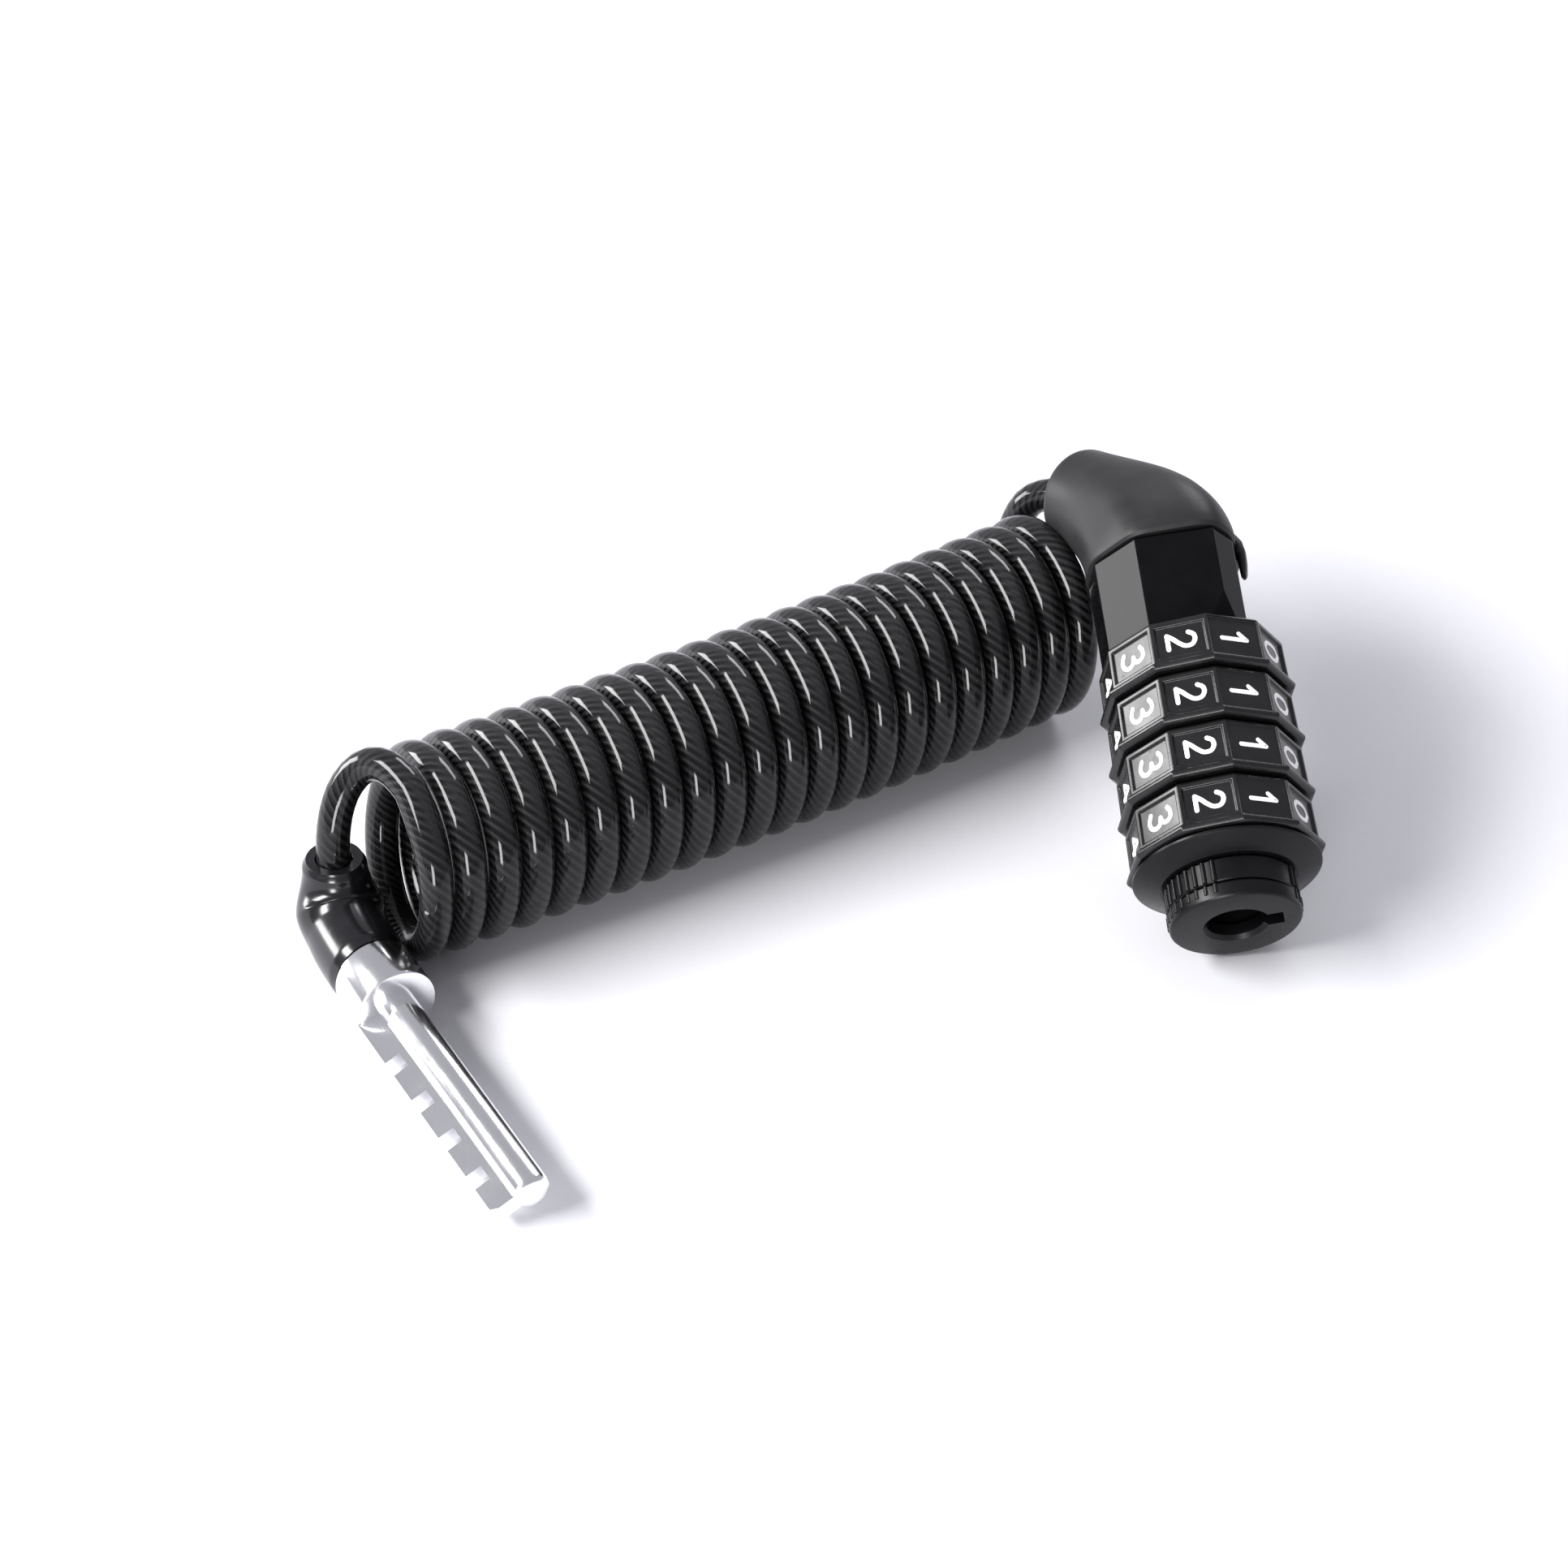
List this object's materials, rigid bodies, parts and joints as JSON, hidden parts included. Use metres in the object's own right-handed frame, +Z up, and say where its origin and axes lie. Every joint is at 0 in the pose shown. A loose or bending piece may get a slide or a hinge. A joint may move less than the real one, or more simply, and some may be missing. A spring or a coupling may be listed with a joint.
{
  "type": "laptop cable lock",
  "caption": "Combination cable lock: ten-sided number dials on a barrel, a coiled vinyl-covered steel cable and a notched bolt that plugs into the barrel's nose.",
  "frame": {"origin": "on the table under the middle of the lock barrel's own box, without the cable and its bolt", "axes": "+Z up, -Y towards the nose end of the barrel, +X to the right seen from the nose, away from the coil"},
  "size_m": [0.125, 0.1108, 0.0388],
  "materials": {
    "satin_black_plastic": "satin moulded black",
    "gloss_black_plastic": "polished black",
    "matte_dark_rubber": "soft matte dark grey",
    "smoked_vinyl": "smoked clear vinyl over twisted steel wire",
    "bright_steel": "drawn",
    "zinc_steel": "zinc plated",
    "chrome": "polished plating",
    "brass": "turned"
  },
  "bodies": {
    "lock_body": {"nose_cap": "satin_black_plastic", "end_flange": "satin_black_plastic", "core_sleeve": "bright_steel", "neck_housing": "gloss_black_plastic", "elbow_boot": "matte_dark_rubber", "retaining_ring": "bright_steel", "lock_ferrule": "zinc_steel", "lock_ferrule_pin": "bright_steel", "clutch_spring": "bright_steel", "ejector_spring": "bright_steel", "cable_lead_lock": "smoked_vinyl", "cable_coil": "smoked_vinyl", "cable_lead_key": "smoked_vinyl", "locking_bolt": "chrome", "key_boot": "gloss_black_plastic", "key_ferrule": "zinc_steel", "key_ferrule_pin": "bright_steel"},
    "setting_ring": {"setting_ring": "satin_black_plastic"},
    "thrust_ring": {"thrust_ring": "brass"},
    "ejector_plunger": {"ejector_plunger": "bright_steel"},
    "dial_1": {"dial_1": "satin_black_plastic"},
    "code_ring_1": {"code_ring_1": "brass"},
    "dial_2": {"dial_2": "satin_black_plastic"},
    "code_ring_2": {"code_ring_2": "brass"},
    "dial_3": {"dial_3": "satin_black_plastic"},
    "code_ring_3": {"code_ring_3": "brass"},
    "dial_4": {"dial_4": "satin_black_plastic"},
    "code_ring_4": {"code_ring_4": "brass"}
  },
  "joints": [
    {"name": "dial_1_turn", "type": "hinge", "parent": "lock_body", "child": "dial_1", "pos_m": [0.00086, -0.00253, 0.02168], "axis": [0, 0.9143, 0.4051], "continuous": true},
    {"name": "dial_2_turn", "type": "hinge", "parent": "lock_body", "child": "dial_2", "pos_m": [0.00086, -0.00938, 0.01865], "axis": [0, 0.9143, 0.4051], "continuous": true},
    {"name": "dial_3_turn", "type": "hinge", "parent": "lock_body", "child": "dial_3", "pos_m": [0.00086, -0.01624, 0.01561], "axis": [0, 0.9143, 0.4051], "continuous": true},
    {"name": "dial_4_turn", "type": "hinge", "parent": "lock_body", "child": "dial_4", "pos_m": [0.00086, -0.0231, 0.01257], "axis": [0, 0.9143, 0.4051], "continuous": true},
    {"name": "setting_turn", "type": "hinge", "parent": "lock_body", "child": "setting_ring", "pos_m": [0.00086, -0.02995, 0.00953], "axis": [0, 0.9143, 0.4051], "range_deg": [0, 90]},
    {"name": "thrust_slide", "type": "slide", "parent": "lock_body", "child": "thrust_ring", "axis": [0, 0.9143, 0.4051], "range_m": [0, 0.002]},
    {"name": "code_ring_1_slide", "type": "slide", "parent": "dial_1", "child": "code_ring_1", "axis": [0, 0.9143, 0.4051], "range_m": [0, 0.002], "deforming": ["clutch_spring"]},
    {"name": "code_ring_2_slide", "type": "slide", "parent": "dial_2", "child": "code_ring_2", "axis": [0, 0.9143, 0.4051], "range_m": [0, 0.002]},
    {"name": "code_ring_3_slide", "type": "slide", "parent": "dial_3", "child": "code_ring_3", "axis": [0, 0.9143, 0.4051], "range_m": [0, 0.002]},
    {"name": "code_ring_4_slide", "type": "slide", "parent": "dial_4", "child": "code_ring_4", "axis": [0, 0.9143, 0.4051], "range_m": [0, 0.002]},
    {"name": "plunger_slide", "type": "slide", "parent": "lock_body", "child": "ejector_plunger", "axis": [0, 0.9143, 0.4051], "range_m": [0, 0.0036], "stiffness_N_per_m": 250, "springref_m": -0.0012, "deforming": ["ejector_spring"]}
  ],
  "couplings": [
    {"joint": "setting_turn", "follows": "code_ring_1_slide", "rad_per_m": 785.39},
    {"joint": "thrust_slide", "follows": "code_ring_1_slide", "ratio": 1},
    {"joint": "code_ring_2_slide", "follows": "code_ring_1_slide", "ratio": 1},
    {"joint": "code_ring_3_slide", "follows": "code_ring_1_slide", "ratio": 1},
    {"joint": "code_ring_4_slide", "follows": "code_ring_1_slide", "ratio": 1}
  ]
}
